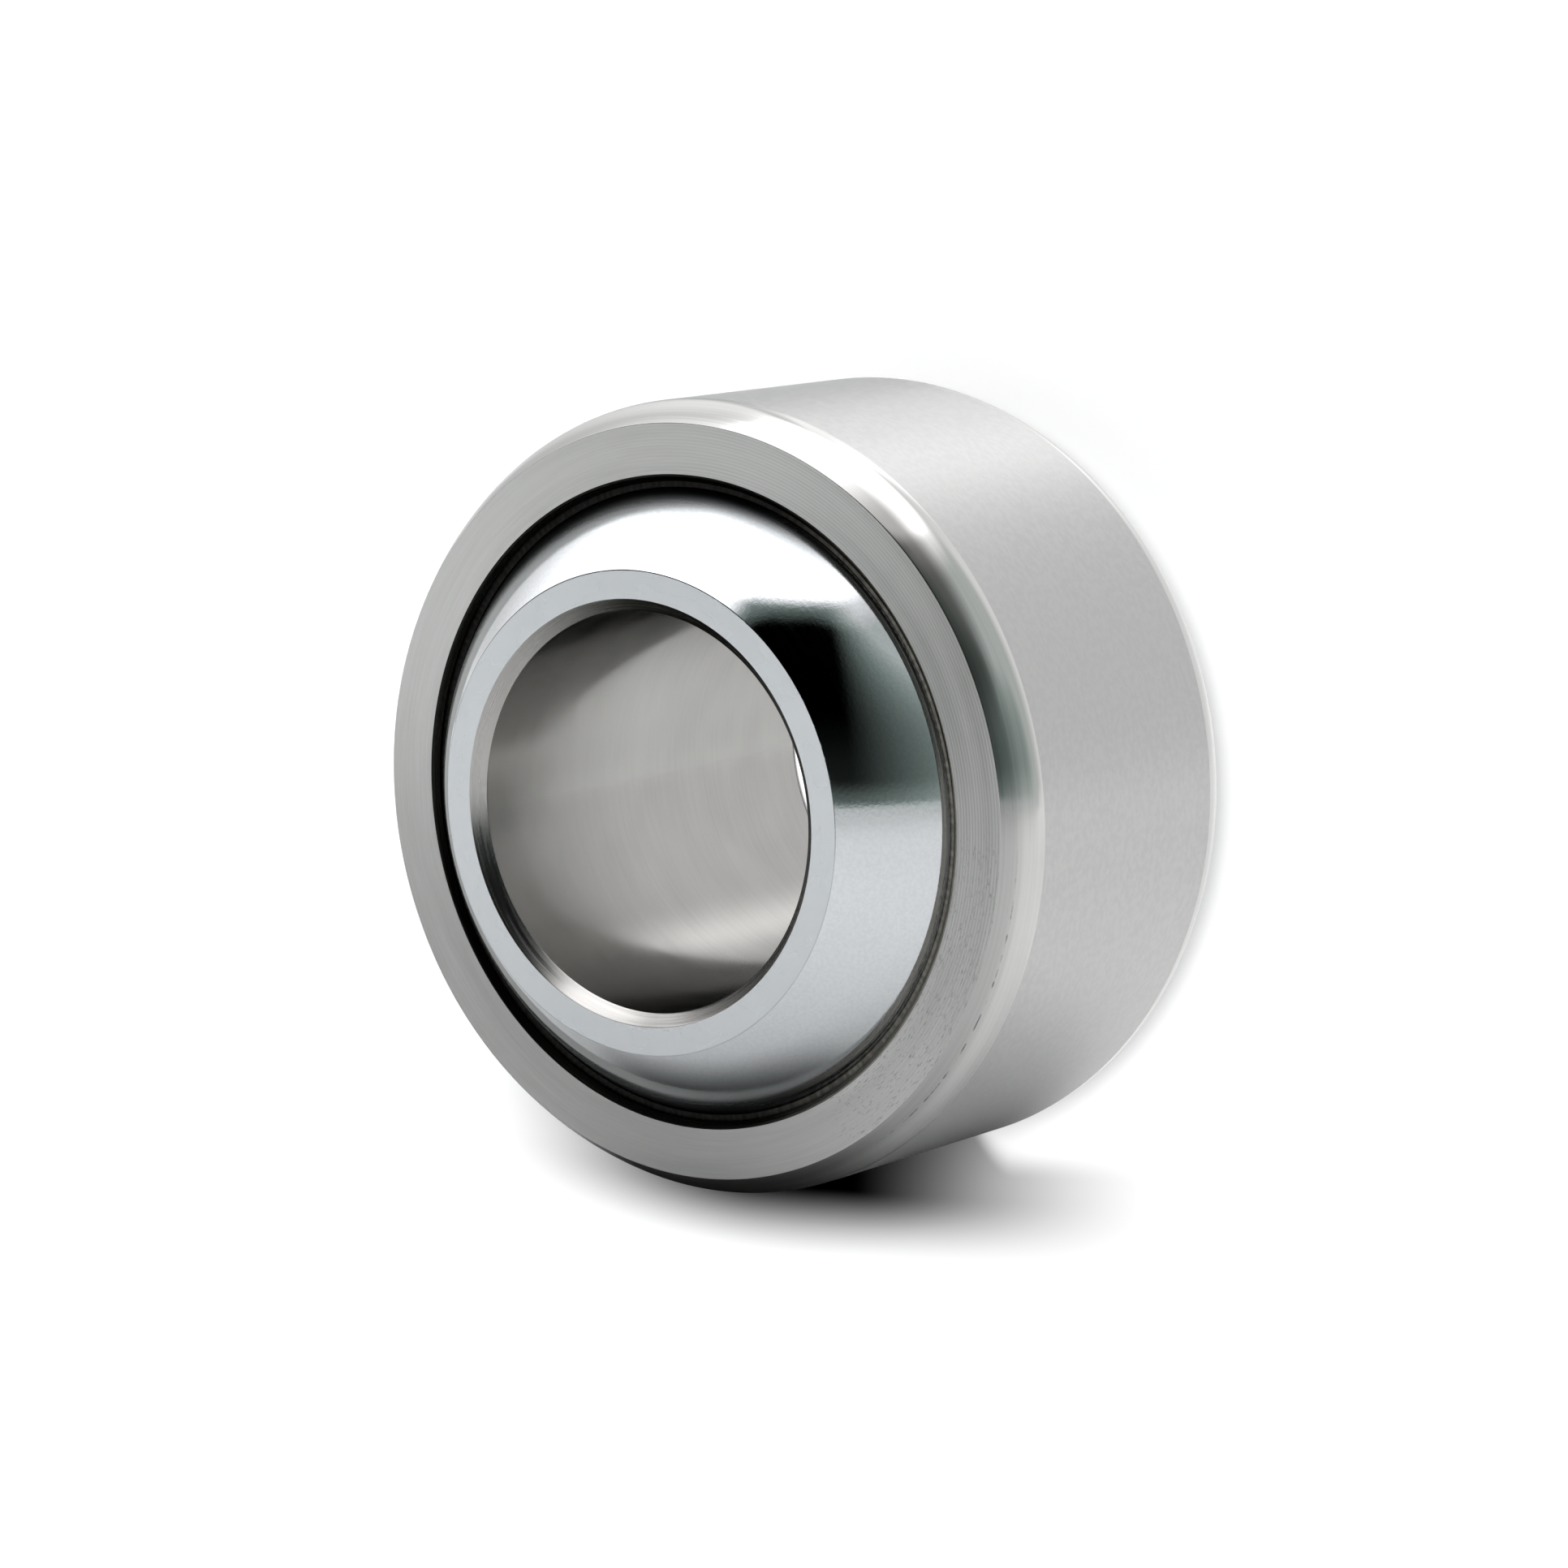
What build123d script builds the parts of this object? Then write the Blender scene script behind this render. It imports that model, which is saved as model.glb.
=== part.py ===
# Spherical plain bearing with a 14 mm bore and a 28 mm outside diameter, self-lubricating.
#
# A bored steel ball turns inside a thin woven liner. The liner is bonded into the hollow spherical race
# of a one-piece steel outer ring, which was swaged shut around the ball, so the ball can't leave it.
# The ball tilts in the ring and turns about its own bore.
#
# Frame: millimetres. The origin is the centre of the sphere, and +Z runs along the bore of both rings.
# The bearing stands on the lower flat of the ball, which reaches further down than the outer ring.

import math
import os

from build123d import *

# Ball: its sphere follows from its width and from the flat left between the bore and the sphere.
# These values give a ball of 25.4 mm.
bore_diameter = 14.0
bore_chamfer = 0.43
shoulder_land = 0.9985
ball_width = 19.0
shoulder_edge_radius = 0.08

# Fits, from the ball outwards
running_clearance = 0.04
liner_thickness = 0.25
bond_line = 0.01

# Outer ring: the wall is measured at the middle, where the race is deepest and the ring thinnest.
ring_width = 13.5
least_wall = 1.0
rim_chamfer_radial = 0.74
rim_chamfer_axial = 1.22
rim_blend_radius = 1.2
race_edge_break = 0.2

# How far the liner's edge lies below the ring's face
liner_recess = 0.3

# Ball sizes that follow
bore_radius = bore_diameter / 2
bore_mouth_radius = bore_radius + bore_chamfer
shoulder_radius = bore_mouth_radius + shoulder_land
ball_half_width = ball_width / 2
ball_radius = math.hypot(ball_half_width, shoulder_radius)
bore_wall_half_length = ball_half_width - bore_chamfer

# Liner and race sizes that follow
liner_inner_radius = ball_radius + running_clearance
liner_outer_radius = liner_inner_radius + liner_thickness
race_radius = liner_outer_radius + bond_line
ring_half_width = ring_width / 2
liner_half_width = ring_half_width - liner_recess

# Ring sizes that follow
outer_radius = race_radius + least_wall
race_half_width = ring_half_width - race_edge_break
rim_radius = outer_radius - rim_chamfer_radial
rim_half_width = ring_half_width - rim_chamfer_axial


def radius_at(sphere_radius, height):
    """Distance from the bore axis to a sphere about the origin, at a height above the middle."""
    return math.sqrt(sphere_radius**2 - height**2)


race_mouth_radius = radius_at(race_radius, race_half_width)
face_inner_radius = race_mouth_radius + race_edge_break
liner_edge_inner_radius = radius_at(liner_inner_radius, liner_half_width)
liner_edge_outer_radius = radius_at(liner_outer_radius, liner_half_width)

# Ball: a turned and ground sphere, cut flat on both ends and bored through, with a chamfer at each mouth
with BuildPart() as inner_ring:
    with BuildSketch(Plane.XZ) as ball_section:
        with BuildLine() as ball_outline:
            ThreePointArc(
                (shoulder_radius, -ball_half_width),
                (ball_radius, 0),
                (shoulder_radius, ball_half_width),
            )
            Polyline(
                (shoulder_radius, ball_half_width),
                (bore_mouth_radius, ball_half_width),
                (bore_radius, bore_wall_half_length),
                (bore_radius, -bore_wall_half_length),
                (bore_mouth_radius, -ball_half_width),
                (shoulder_radius, -ball_half_width),
            )
        make_face()
        shoulders = ball_section.vertices().group_by(Axis.X)[-1]
        fillet(shoulders, shoulder_edge_radius)
    revolve(axis=Axis.Z)
inner_ring.part.label = "inner_ring"

# Liner: a band of woven fabric shaped to the sphere, with both edges trimmed just below the ring's faces
with BuildPart() as fabric_liner:
    with BuildSketch(Plane.XZ) as liner_section:
        with BuildLine() as liner_outline:
            ThreePointArc(
                (liner_edge_inner_radius, -liner_half_width),
                (liner_inner_radius, 0),
                (liner_edge_inner_radius, liner_half_width),
            )
            Line(
                (liner_edge_inner_radius, liner_half_width),
                (liner_edge_outer_radius, liner_half_width),
            )
            ThreePointArc(
                (liner_edge_outer_radius, liner_half_width),
                (liner_outer_radius, 0),
                (liner_edge_outer_radius, -liner_half_width),
            )
            Line(
                (liner_edge_outer_radius, -liner_half_width),
                (liner_edge_inner_radius, -liner_half_width),
            )
        make_face()
    revolve(axis=Axis.Z)
fabric_liner.part.label = "fabric_liner"

# Outer ring: one band of steel whose hollow race closes in past the middle of the ball on both sides.
# A long slim chamfer leads each end into the housing and runs softly into the ground outside.
with BuildPart() as outer_ring:
    with BuildSketch(Plane.XZ) as ring_section:
        with BuildLine() as ring_outline:
            ThreePointArc(
                (race_mouth_radius, -race_half_width),
                (race_radius, 0),
                (race_mouth_radius, race_half_width),
            )
            Polyline(
                (race_mouth_radius, race_half_width),
                (face_inner_radius, ring_half_width),
                (rim_radius, ring_half_width),
                (outer_radius, rim_half_width),
                (outer_radius, -rim_half_width),
                (rim_radius, -ring_half_width),
                (face_inner_radius, -ring_half_width),
                (race_mouth_radius, -race_half_width),
            )
        make_face()
        chamfer_ends = ring_section.vertices().group_by(Axis.X)[-1]
        fillet(chamfer_ends, rim_blend_radius)
    revolve(axis=Axis.Z)
outer_ring.part.label = "outer_ring"

# Sizes that a housing or a shaft is made to, printed for whoever fits the bearing
blend_angle = math.atan2(rim_chamfer_radial, rim_chamfer_axial)
seat_half_length = rim_half_width - rim_blend_radius * math.tan(blend_angle / 2)
shoulder_latitude = math.asin(ball_half_width / ball_radius)
face_latitude = math.asin(ring_half_width / ball_radius)
rated_tilt = math.degrees(shoulder_latitude - face_latitude)

os.makedirs("parts", exist_ok=True)
export_step(inner_ring.part, "parts/inner_ring.step")
export_step(fabric_liner.part, "parts/fabric_liner.step")
export_step(outer_ring.part, "parts/outer_ring.step")

print("ball diameter", round(2 * ball_radius, 4))
print("flat of the ball, outside radius", round(shoulder_radius, 4))
print("outside diameter", round(2 * outer_radius, 4))
print("bore wall length", round(2 * bore_wall_half_length, 4))
print("length of the seat on the outside", round(2 * seat_half_length, 4))
print("ring face, inside radius", round(face_inner_radius, 4))
print("tilt that brings the flat of the ball down to the ring's face", round(rated_tilt, 2))
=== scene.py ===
# %% [markdown]
# # Finishing a spherical plain bearing
#
# A spherical plain bearing is the small joint at the end of a linkage rod. A bored steel ball sits inside a
# steel ring, and a thin woven liner between the two lets the ball tilt and turn without oil. The fixed frame
# that this script loads has settled the sizes already. What is left is the look: steel that was turned,
# ground, honed or polished catches the light in four different ways, and most of this lesson is about that.
#
# The frame comes first, because every piece is measured from it.

# %% Load the fixed frame
import math
import random
from collections import namedtuple

import bpy
from mathutils import Matrix, Vector


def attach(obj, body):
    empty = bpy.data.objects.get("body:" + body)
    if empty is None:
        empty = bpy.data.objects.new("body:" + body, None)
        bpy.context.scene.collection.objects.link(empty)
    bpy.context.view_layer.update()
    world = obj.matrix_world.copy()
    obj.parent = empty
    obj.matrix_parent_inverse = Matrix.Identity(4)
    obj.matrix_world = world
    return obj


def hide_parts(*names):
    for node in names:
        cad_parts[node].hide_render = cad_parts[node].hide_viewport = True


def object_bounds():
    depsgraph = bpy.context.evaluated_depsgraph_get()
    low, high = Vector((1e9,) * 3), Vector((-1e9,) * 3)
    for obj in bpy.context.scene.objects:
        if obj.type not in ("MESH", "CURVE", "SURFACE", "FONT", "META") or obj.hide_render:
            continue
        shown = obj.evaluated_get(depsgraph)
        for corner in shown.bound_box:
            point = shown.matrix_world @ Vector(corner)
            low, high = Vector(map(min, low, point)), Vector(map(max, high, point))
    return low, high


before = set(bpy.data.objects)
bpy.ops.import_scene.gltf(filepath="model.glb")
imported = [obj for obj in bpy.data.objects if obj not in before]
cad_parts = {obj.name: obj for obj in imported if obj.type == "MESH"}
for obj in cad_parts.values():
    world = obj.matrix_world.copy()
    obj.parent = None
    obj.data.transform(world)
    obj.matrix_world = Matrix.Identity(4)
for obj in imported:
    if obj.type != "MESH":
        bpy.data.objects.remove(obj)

cad_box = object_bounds()
MM = 0.001
print("pieces in the frame:", sorted(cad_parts))
print("box in millimetres:", [tuple(round(value / MM, 2) for value in corner) for corner in cad_box])

# %% [markdown]
# ## Reading sizes off the frame
#
# Ball, liner and ring are all turned about the bore, so a half outline of radius and height says everything
# about their shape. The corners of those outlines could be typed in again, but then they would go wrong as
# soon as the part changed. It is safer to read them back from the frame's own points.

# %% Read a piece as radius and height
NEAR = 0.001 * MM


def section(node_name):
    """The radius and height of every point of a piece in the frame."""
    points = []
    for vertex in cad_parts[node_name].data.vertices:
        points.append((math.hypot(vertex.co.x, vertex.co.y), vertex.co.z))
    return points


def radii_at(points, height):
    """The smallest and the largest radius among the points at one height."""
    radii = [r for r, z in points if abs(z - height) < NEAR]
    return min(radii), max(radii)


def height_at(points, radius):
    """The greatest height among the points at one radius."""
    return max(z for r, z in points if abs(r - radius) < NEAR)


# %% Sizes of the ball
ball_points = section("inner_ring")
ball_radius = max(math.hypot(r, z) for r, z in ball_points)
flat_height = max(z for r, z in ball_points)
bore_radius = min(r for r, z in ball_points)
bore_mouth_radius, flat_radius = radii_at(ball_points, flat_height)
bore_wall_height = height_at(ball_points, bore_radius)
print("ball", round(2 * ball_radius / MM, 3), "bore", round(2 * bore_radius / MM, 3))

# %% Sizes of the ring
ring_points = section("outer_ring")
seat_radius = max(r for r, z in ring_points)
seat_height = height_at(ring_points, seat_radius)
face_height = max(z for r, z in ring_points)
face_inner_radius, face_outer_radius = radii_at(ring_points, face_height)
race_radius = min(math.hypot(r, z) for r, z in ring_points)
mouth_radius = min(r for r, z in ring_points)
mouth_height = height_at(ring_points, mouth_radius)
print("outside", round(2 * seat_radius / MM, 3), "face from", round(face_inner_radius / MM, 3))

# %% Sizes of the liner
liner_points = section("fabric_liner")
liner_inner_radius = min(math.hypot(r, z) for r, z in liner_points)
liner_outer_radius = max(math.hypot(r, z) for r, z in liner_points)
liner_edge_height = max(z for r, z in liner_points)
print("liner", round((liner_outer_radius - liner_inner_radius) / MM, 3), "thick")

# %% [markdown]
# ## Drawing outlines the way a lathe hand would
#
# A modifier such as Bevel or Screw could spin and soften the shapes. Plain points give more say in where
# each finish starts and stops, and they keep the mesh light. Four small helpers are enough: a straight cut,
# an arc, a softened corner, and a point on a sphere. No edge on real steel is perfectly sharp, and the thin
# bright or dark line along a softened edge is a large part of what makes metal look real.

# %% Helpers for an outline
def straight(start, end, hold=0.0):
    """A straight cut. With hold, an extra point near each end keeps the shading flat up to the corner."""
    (r0, z0), (r1, z1) = start, end
    length = math.hypot(r1 - r0, z1 - z0)
    shares = [0.0, hold / length, 1 - hold / length, 1.0] if hold else [0.0, 1.0]
    return [(r0 + (r1 - r0) * share, z0 + (z1 - z0) * share) for share in shares]


def arc(centre, radius, start, end, steps):
    """Points on a circle about centre, from one angle to another."""
    angles = [start + (end - start) * step / steps for step in range(steps + 1)]
    return [(centre[0] + radius * math.cos(a), centre[1] + radius * math.sin(a)) for a in angles]


def soften(before, corner, after, radius, steps=4):
    """The small arc that takes the place of the sharp corner between two straight cuts."""
    here = Vector(corner)
    back = (Vector(before) - here).normalized()
    ahead = (Vector(after) - here).normalized()
    half = back.angle(ahead) / 2
    centre = here + (back + ahead).normalized() * radius / math.sin(half)
    first = here + back * radius / math.tan(half) - centre
    last = here + ahead * radius / math.tan(half) - centre
    start = math.atan2(first.y, first.x)
    turn_angle = math.atan2(first.x * last.y - first.y * last.x, first.dot(last))
    return arc(centre, radius, start, start + turn_angle, steps)


def on_sphere(radius, height):
    """The point of a sphere's outline at a height."""
    return math.sqrt(radius**2 - height**2), height


# %% Join stretches into a closed outline
def close_outline(stretches):
    """Turns the upper half of an outline, as (finish, points) stretches, into rows for a whole closed one.

    The stretches run from the outermost point on the middle line to the innermost one. The lower half is
    their mirror image. Each row is a point with the finish of the way to the next point."""
    upper = []
    for finish, points in stretches:
        for start, end in zip(points, points[1:]):
            if math.dist(start, end) > NEAR / 10:
                upper.append((start, end, finish))
        if upper and math.dist(upper[-1][1], points[-1]) > NEAR / 10:
            raise ValueError("a stretch ends nowhere")
    rows = [(start, finish) for start, end, finish in upper]
    for start, end, finish in reversed(upper):
        rows.append(((end[0], -end[1]), finish))
    return rows


# %% [markdown]
# ## Spinning an outline
#
# The rows are spun about the bore in enough steps that the rim stays round in a close view. Every face keeps
# the number of its finish, so that one piece of steel can be polished in one place and turned in another. A
# piece may also wander a little from the true circle, which the cut edge of cloth and a burr on steel need.

# %% Spin rows into a piece
ROUND_STEPS = 512


def spin(name, rows, steps=ROUND_STEPS, wander=None):
    """One closed mesh from rows of an outline. wander(angle, row) may shift a point outward and upward."""
    finishes = list(dict.fromkeys(finish for point, finish in rows))
    vertices = []
    for step in range(steps):
        angle = 2 * math.pi * step / steps
        for index, ((radius, height), finish) in enumerate(rows):
            out, up = wander(angle, index) if wander else (0.0, 0.0)
            across = radius + out
            vertices.append((across * math.cos(angle), across * math.sin(angle), height + up))
    faces = []
    numbers = []
    count = len(rows)
    for step in range(steps):
        here = step * count
        there = (step + 1) % steps * count
        for index, (point, finish) in enumerate(rows):
            after = (index + 1) % count
            faces.append((here + index, there + index, there + after, here + after))
            numbers.append(finishes.index(finish))
    mesh = bpy.data.meshes.new(name)
    mesh.from_pydata(vertices, [], faces)
    mesh.polygons.foreach_set("use_smooth", [True] * len(faces))
    mesh.polygons.foreach_set("material_index", numbers)
    mesh.update()
    piece = bpy.data.objects.new(name, mesh)
    bpy.context.scene.collection.objects.link(piece)
    print(name, "has", 2 * len(faces), "triangles and the finishes", finishes)
    return piece, finishes


# %% [markdown]
# ## The ball
#
# On the real bearing the ball is turned from bar, ground round and polished, then cut flat at both ends and
# honed through. A UV sphere with its ends cut off would do for the round part. Spinning one outline gives
# sphere, shoulder, flat, chamfer and bore in one closed mesh instead, with rounded edges exactly where they
# should be. The shoulder's rounding follows from the frame: it touches both the sphere and the flat.

# %% Outline of the ball
shoulder_rounding = (ball_radius**2 - flat_height**2 - flat_radius**2) / (2 * (ball_radius - flat_height))
shoulder_latitude = math.atan2(flat_height - shoulder_rounding, flat_radius)
bore_edge_rounding = 0.03 * MM
flat_hold = 0.06 * MM
SPHERE_STEPS = 40
SHOULDER_STEPS = 6

flat_start = (flat_radius, flat_height)
mouth_corner = (bore_mouth_radius, flat_height)
bore_corner = (bore_radius, bore_wall_height)
bore_middle = (bore_radius, 0.0)
mouth_edge = soften(flat_start, mouth_corner, bore_corner, bore_edge_rounding)
bore_edge = soften(mouth_corner, bore_corner, bore_middle, bore_edge_rounding)
shoulder_centre = (flat_radius, flat_height - shoulder_rounding)
shoulder = arc(shoulder_centre, shoulder_rounding, shoulder_latitude, math.pi / 2, SHOULDER_STEPS)

ball_rows = close_outline([
    ("polished sphere", arc((0.0, 0.0), ball_radius, 0.0, shoulder_latitude, SPHERE_STEPS)),
    ("shoulder edge", shoulder),
    ("ground flat", straight(flat_start, mouth_edge[0], flat_hold)),
    ("bore chamfer", mouth_edge),
    ("bore chamfer", straight(mouth_edge[-1], bore_edge[0], flat_hold)),
    ("bore chamfer", bore_edge),
    ("honed bore", straight(bore_edge[-1], bore_middle, flat_hold)),
])
print("shoulder rounding", round(shoulder_rounding / MM, 3))

# %% Leave a burr on the shoulder
# The grinding wheel left the flat on this side, so a ragged lip of steel stayed on the edge here.
burr_middle = math.radians(-35.0)
burr_reach = math.radians(30.0)
burr_height = 0.0012 * MM
random.seed(5)
burr_bits = [random.random() for step in range(ROUND_STEPS)]
first_edge = [finish for point, finish in ball_rows].index("shoulder edge")


def burr(angle, index):
    """Raises the shoulder's edge a little, unevenly, on one side of the ball."""
    (radius, height), finish = ball_rows[index]
    if finish != "shoulder edge" or height < 0 or index == first_edge:
        return 0.0, 0.0
    away = abs((angle - burr_middle + math.pi) % (2 * math.pi) - math.pi)
    share = max(0.0, 1 - away / burr_reach)
    bit = burr_bits[round(angle / (2 * math.pi) * ROUND_STEPS) % ROUND_STEPS]
    return burr_height * min(1.0, 2 * share) * bit, 0.0


# %% Spin the ball
ball, ball_finishes = spin("bored_ball", ball_rows, wander=burr)
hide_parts("inner_ring")
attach(ball, "ball")

# %% [markdown]
# ## The outer ring
#
# The ring starts as a turned blank and is then pressed shut round the ball, so its race is a hollow sphere
# whose mouth is narrower than its middle. Outside it is ground to fit a housing. Each end has a long slim
# chamfer that runs softly into the ground outside, and meets the face at a crisp edge. The chamfer was cut
# in two goes, so it has two slopes a few degrees apart, with a knee along its middle that splits the light.

# %% Outline of the ring
cone_point = max((p for p in ring_points if p[0] > face_outer_radius + NEAR), key=lambda p: p[1])
cone_slope = math.atan2(cone_point[0] - face_outer_radius, face_height - cone_point[1])
corner_height = face_height - (seat_radius - face_outer_radius) / math.tan(cone_slope)
blend_radius = (corner_height - seat_height) / math.tan(cone_slope / 2)
blend_centre = (seat_radius - blend_radius, seat_height)
steeper_outside = math.radians(5.2)
outer_slope = cone_slope - steeper_outside
outer_crown = 0.0046 * MM
inner_crown = 0.0066 * MM
CROWN_SHARES = (0.0, 0.06, 0.3, 0.5, 0.7, 0.94, 1.0)
face_edge_rounding = 0.03 * MM
mouth_edge_rounding = 0.14 * MM
seat_hold = 0.3 * MM
BLEND_STEPS = 8
RACE_STEPS = 16


def crowned(start, end, crown):
    """A cut that bulges outward by crown in its middle, as a flat parabola."""
    way = Vector(end) - Vector(start)
    outward = Vector((way.y, -way.x)).normalized()
    points = [Vector(start) + way * s + outward * 4 * crown * s * (1 - s) for s in CROWN_SHARES]
    return [(point.x, point.y) for point in points]


face_outer_corner = (face_outer_radius, face_height)
face_inner_corner = (face_inner_radius, face_height)
race_mouth = (mouth_radius, mouth_height)
outer_blend = arc(blend_centre, blend_radius, 0.0, outer_slope, BLEND_STEPS)
slope_start = Vector(outer_blend[-1])
slope_end = Vector(face_outer_corner)
slope_way = slope_end - slope_start
# The knee stands out just far enough for the bulging outer cut to leave the blend without a corner.
knee_rise = math.atan2(-slope_way.x, slope_way.y) - outer_slope - 4 * outer_crown / slope_way.length * 2
knee = (slope_start + slope_end) / 2 + Vector((slope_way.y, -slope_way.x)) / 2 * math.tan(knee_rise)
knee = (knee.x, knee.y)
face_outer_edge = soften(knee, face_outer_corner, face_inner_corner, face_edge_rounding)
face_inner_edge = soften(face_outer_corner, face_inner_corner, race_mouth, mouth_edge_rounding)
race_latitude = math.atan2(mouth_height, mouth_radius)

ring_rows = close_outline([
    ("ground seat", straight((seat_radius, 0.0), (seat_radius, seat_height), seat_hold)),
    ("turned chamfer", outer_blend),
    ("turned chamfer", crowned(outer_blend[-1], knee, outer_crown)),
    ("turned chamfer", crowned(knee, face_outer_edge[0], inner_crown)),
    ("turned chamfer", face_outer_edge),
    ("turned face", straight(face_outer_edge[-1], face_inner_edge[0], flat_hold)),
    ("race edge", face_inner_edge),
    ("race edge", straight(face_inner_edge[-1], race_mouth, flat_hold / 2)),
    ("race", arc((0.0, 0.0), race_radius, race_latitude, 0.0, RACE_STEPS)),
])
print("chamfer slope", round(math.degrees(cone_slope), 2), "blend radius", round(blend_radius / MM, 3))

# %% Spin the ring
ring, ring_finishes = spin("swaged_ring", ring_rows)
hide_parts("outer_ring")
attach(ring, "ring")

# %% [markdown]
# ## The woven liner
#
# The liner is a band of cloth a quarter of a millimetre thick, bound with resin and bonded into the race.
# Only its trimmed edge shows, down in the gap beside the ball. Every thread that was cut there ends in a
# small rounded bump, and no two are quite alike. Geometry suits this better than a bump map, because the
# bumps break the outline of the gap. The threads are counted from their width, and each gets its own height.

# %% Outline of the liner
thread_width = 0.28 * MM
thread_rise = 0.05 * MM
thread_loss = 0.015 * MM
valley_share = 0.8
STEPS_PER_THREAD = 6
EDGE_STEPS = 6
WALL_STEPS = 6

edge_radius = on_sphere(liner_outer_radius, liner_edge_height)[0]
thread_count = 2 * round(math.pi * edge_radius / thread_width)
liner_top = liner_edge_height - thread_rise
inner_top = math.asin(liner_top / liner_inner_radius)
outer_top = math.asin(liner_top / liner_outer_radius)
inner_end = on_sphere(liner_inner_radius, liner_top)
outer_end = on_sphere(liner_outer_radius, liner_top)
edge_middle = (inner_end[0] + outer_end[0]) / 2
edge_half = (outer_end[0] - inner_end[0]) / 2
edge_points = []
for step in range(EDGE_STEPS + 1):
    angle = math.pi * step / EDGE_STEPS
    across = edge_middle + edge_half * math.cos(angle)
    edge_points.append((across, liner_top + thread_rise * math.sin(angle)))

liner_rows = close_outline([
    ("woven liner", arc((0.0, 0.0), liner_outer_radius, 0.0, outer_top, WALL_STEPS)),
    ("woven liner", edge_points),
    ("woven liner", arc((0.0, 0.0), liner_inner_radius, inner_top, 0.0, WALL_STEPS)),
])

# %% Give every thread its own end
random.seed(14)
thread_heights = [random.random() for thread in range(thread_count)]


def thread_end(angle, index):
    """How far the cut end of a thread stands back from the liner's edge, as an outward and upward shift."""
    (radius, height), finish = liner_rows[index]
    share = max(0.0, (abs(height) - liner_top) / thread_rise)
    along = angle / (2 * math.pi) * thread_count
    number = int(along) % thread_count
    round_top = math.sin(math.pi * (along - int(along)))
    valley = (1 - round_top) * thread_rise * valley_share
    drop = valley + thread_heights[number] * thread_loss
    return 0.0, -math.copysign(share * drop, height)


liner, liner_finishes = spin("woven_liner_band", liner_rows, thread_count * STEPS_PER_THREAD, thread_end)
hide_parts("fabric_liner")
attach(liner, "ring")
print("threads round the edge:", thread_count)

# %% [markdown]
# ## Tool marks
#
# Lines left by a tool run round the bore. In Blender a brushed look is often made with a stretched noise,
# but noise in plain X, Y and Z would cut straight across a round piece. So each point is first described the
# way the lathe saw it: which way round it lies, how far out, and how high. Noise that changes slowly round
# the bore and quickly across then gives marks that follow the turning all the way round.

# %% Small helpers for shader nodes
def feed(tree, value, socket):
    """Connects a node's output to a socket, or sets the socket to a plain value."""
    if isinstance(value, bpy.types.NodeSocket):
        tree.links.new(value, socket)
    else:
        socket.default_value = value


def maths(tree, operation, *values):
    """The result of one Math node."""
    node = tree.nodes.new("ShaderNodeMath")
    node.operation = operation
    for value, socket in zip(values, node.inputs):
        feed(tree, value, socket)
    return node.outputs[0]


def fade(tree, value, start, end, low=0.0, high=1.0):
    """A soft step: low up to start, high from end on."""
    node = tree.nodes.new("ShaderNodeMapRange")
    node.interpolation_type = "SMOOTHSTEP"
    feed(tree, value, node.inputs["Value"])
    node.inputs["From Min"].default_value = start
    node.inputs["From Max"].default_value = end
    node.inputs["To Min"].default_value = low
    node.inputs["To Max"].default_value = high
    return node.outputs["Result"]


def tint(tree, share, low, high):
    """A colour between two others, by share. Each may be a plain colour or the output of another tint."""
    node = tree.nodes.new("ShaderNodeMix")
    node.data_type = "RGBA"
    feed(tree, share, node.inputs["Factor"])
    for colour, socket in ((low, node.inputs["A"]), (high, node.inputs["B"])):
        feed(tree, (*colour, 1.0) if isinstance(colour, tuple) else colour, socket)
    return node.outputs["Result"]


def length_of(tree, x, y):
    """The length of the way that goes x along and y across."""
    squares = maths(tree, "MULTIPLY_ADD", x, x, maths(tree, "MULTIPLY", y, y))
    return maths(tree, "SQRT", squares)


# %% Describe a point as the lathe saw it
Place = namedtuple("Place", "around_x around_y radius height")


def lathe_place(tree):
    """Cosine and sine of the way round, the radius and the height of the shaded point."""
    coordinates = tree.nodes.new("ShaderNodeTexCoord")
    split = tree.nodes.new("ShaderNodeSeparateXYZ")
    tree.links.new(coordinates.outputs["Object"], split.inputs[0])
    x, y, height = split.outputs
    radius = length_of(tree, x, y)
    return Place(maths(tree, "DIVIDE", x, radius), maths(tree, "DIVIDE", y, radius), radius, height)


def marks(tree, place, across, length, width, shift=0.0, detail=1.0):
    """Noise in marks of about this length round the bore and this width across it."""
    combine = tree.nodes.new("ShaderNodeCombineXYZ")
    reach = seat_radius / length
    feed(tree, maths(tree, "MULTIPLY", place.around_x, reach), combine.inputs["X"])
    feed(tree, maths(tree, "MULTIPLY", place.around_y, reach), combine.inputs["Y"])
    feed(tree, maths(tree, "MULTIPLY_ADD", across, 1 / width, shift), combine.inputs["Z"])
    noise = tree.nodes.new("ShaderNodeTexNoise")
    tree.links.new(combine.outputs[0], noise.inputs["Vector"])
    noise.inputs["Scale"].default_value = 1.0
    noise.inputs["Detail"].default_value = detail
    return noise.outputs["Fac"]


def side(tree, place, middle, inner, outer, low=0.0, high=1.0):
    """High up to inner degrees away from the angle middle, and low from outer degrees away on."""
    facing = maths(tree, "MULTIPLY", place.around_x, math.cos(middle))
    facing = maths(tree, "MULTIPLY_ADD", place.around_y, math.sin(middle), facing)
    return fade(tree, facing, math.cos(math.radians(outer)), math.cos(math.radians(inner)), low, high)


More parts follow.
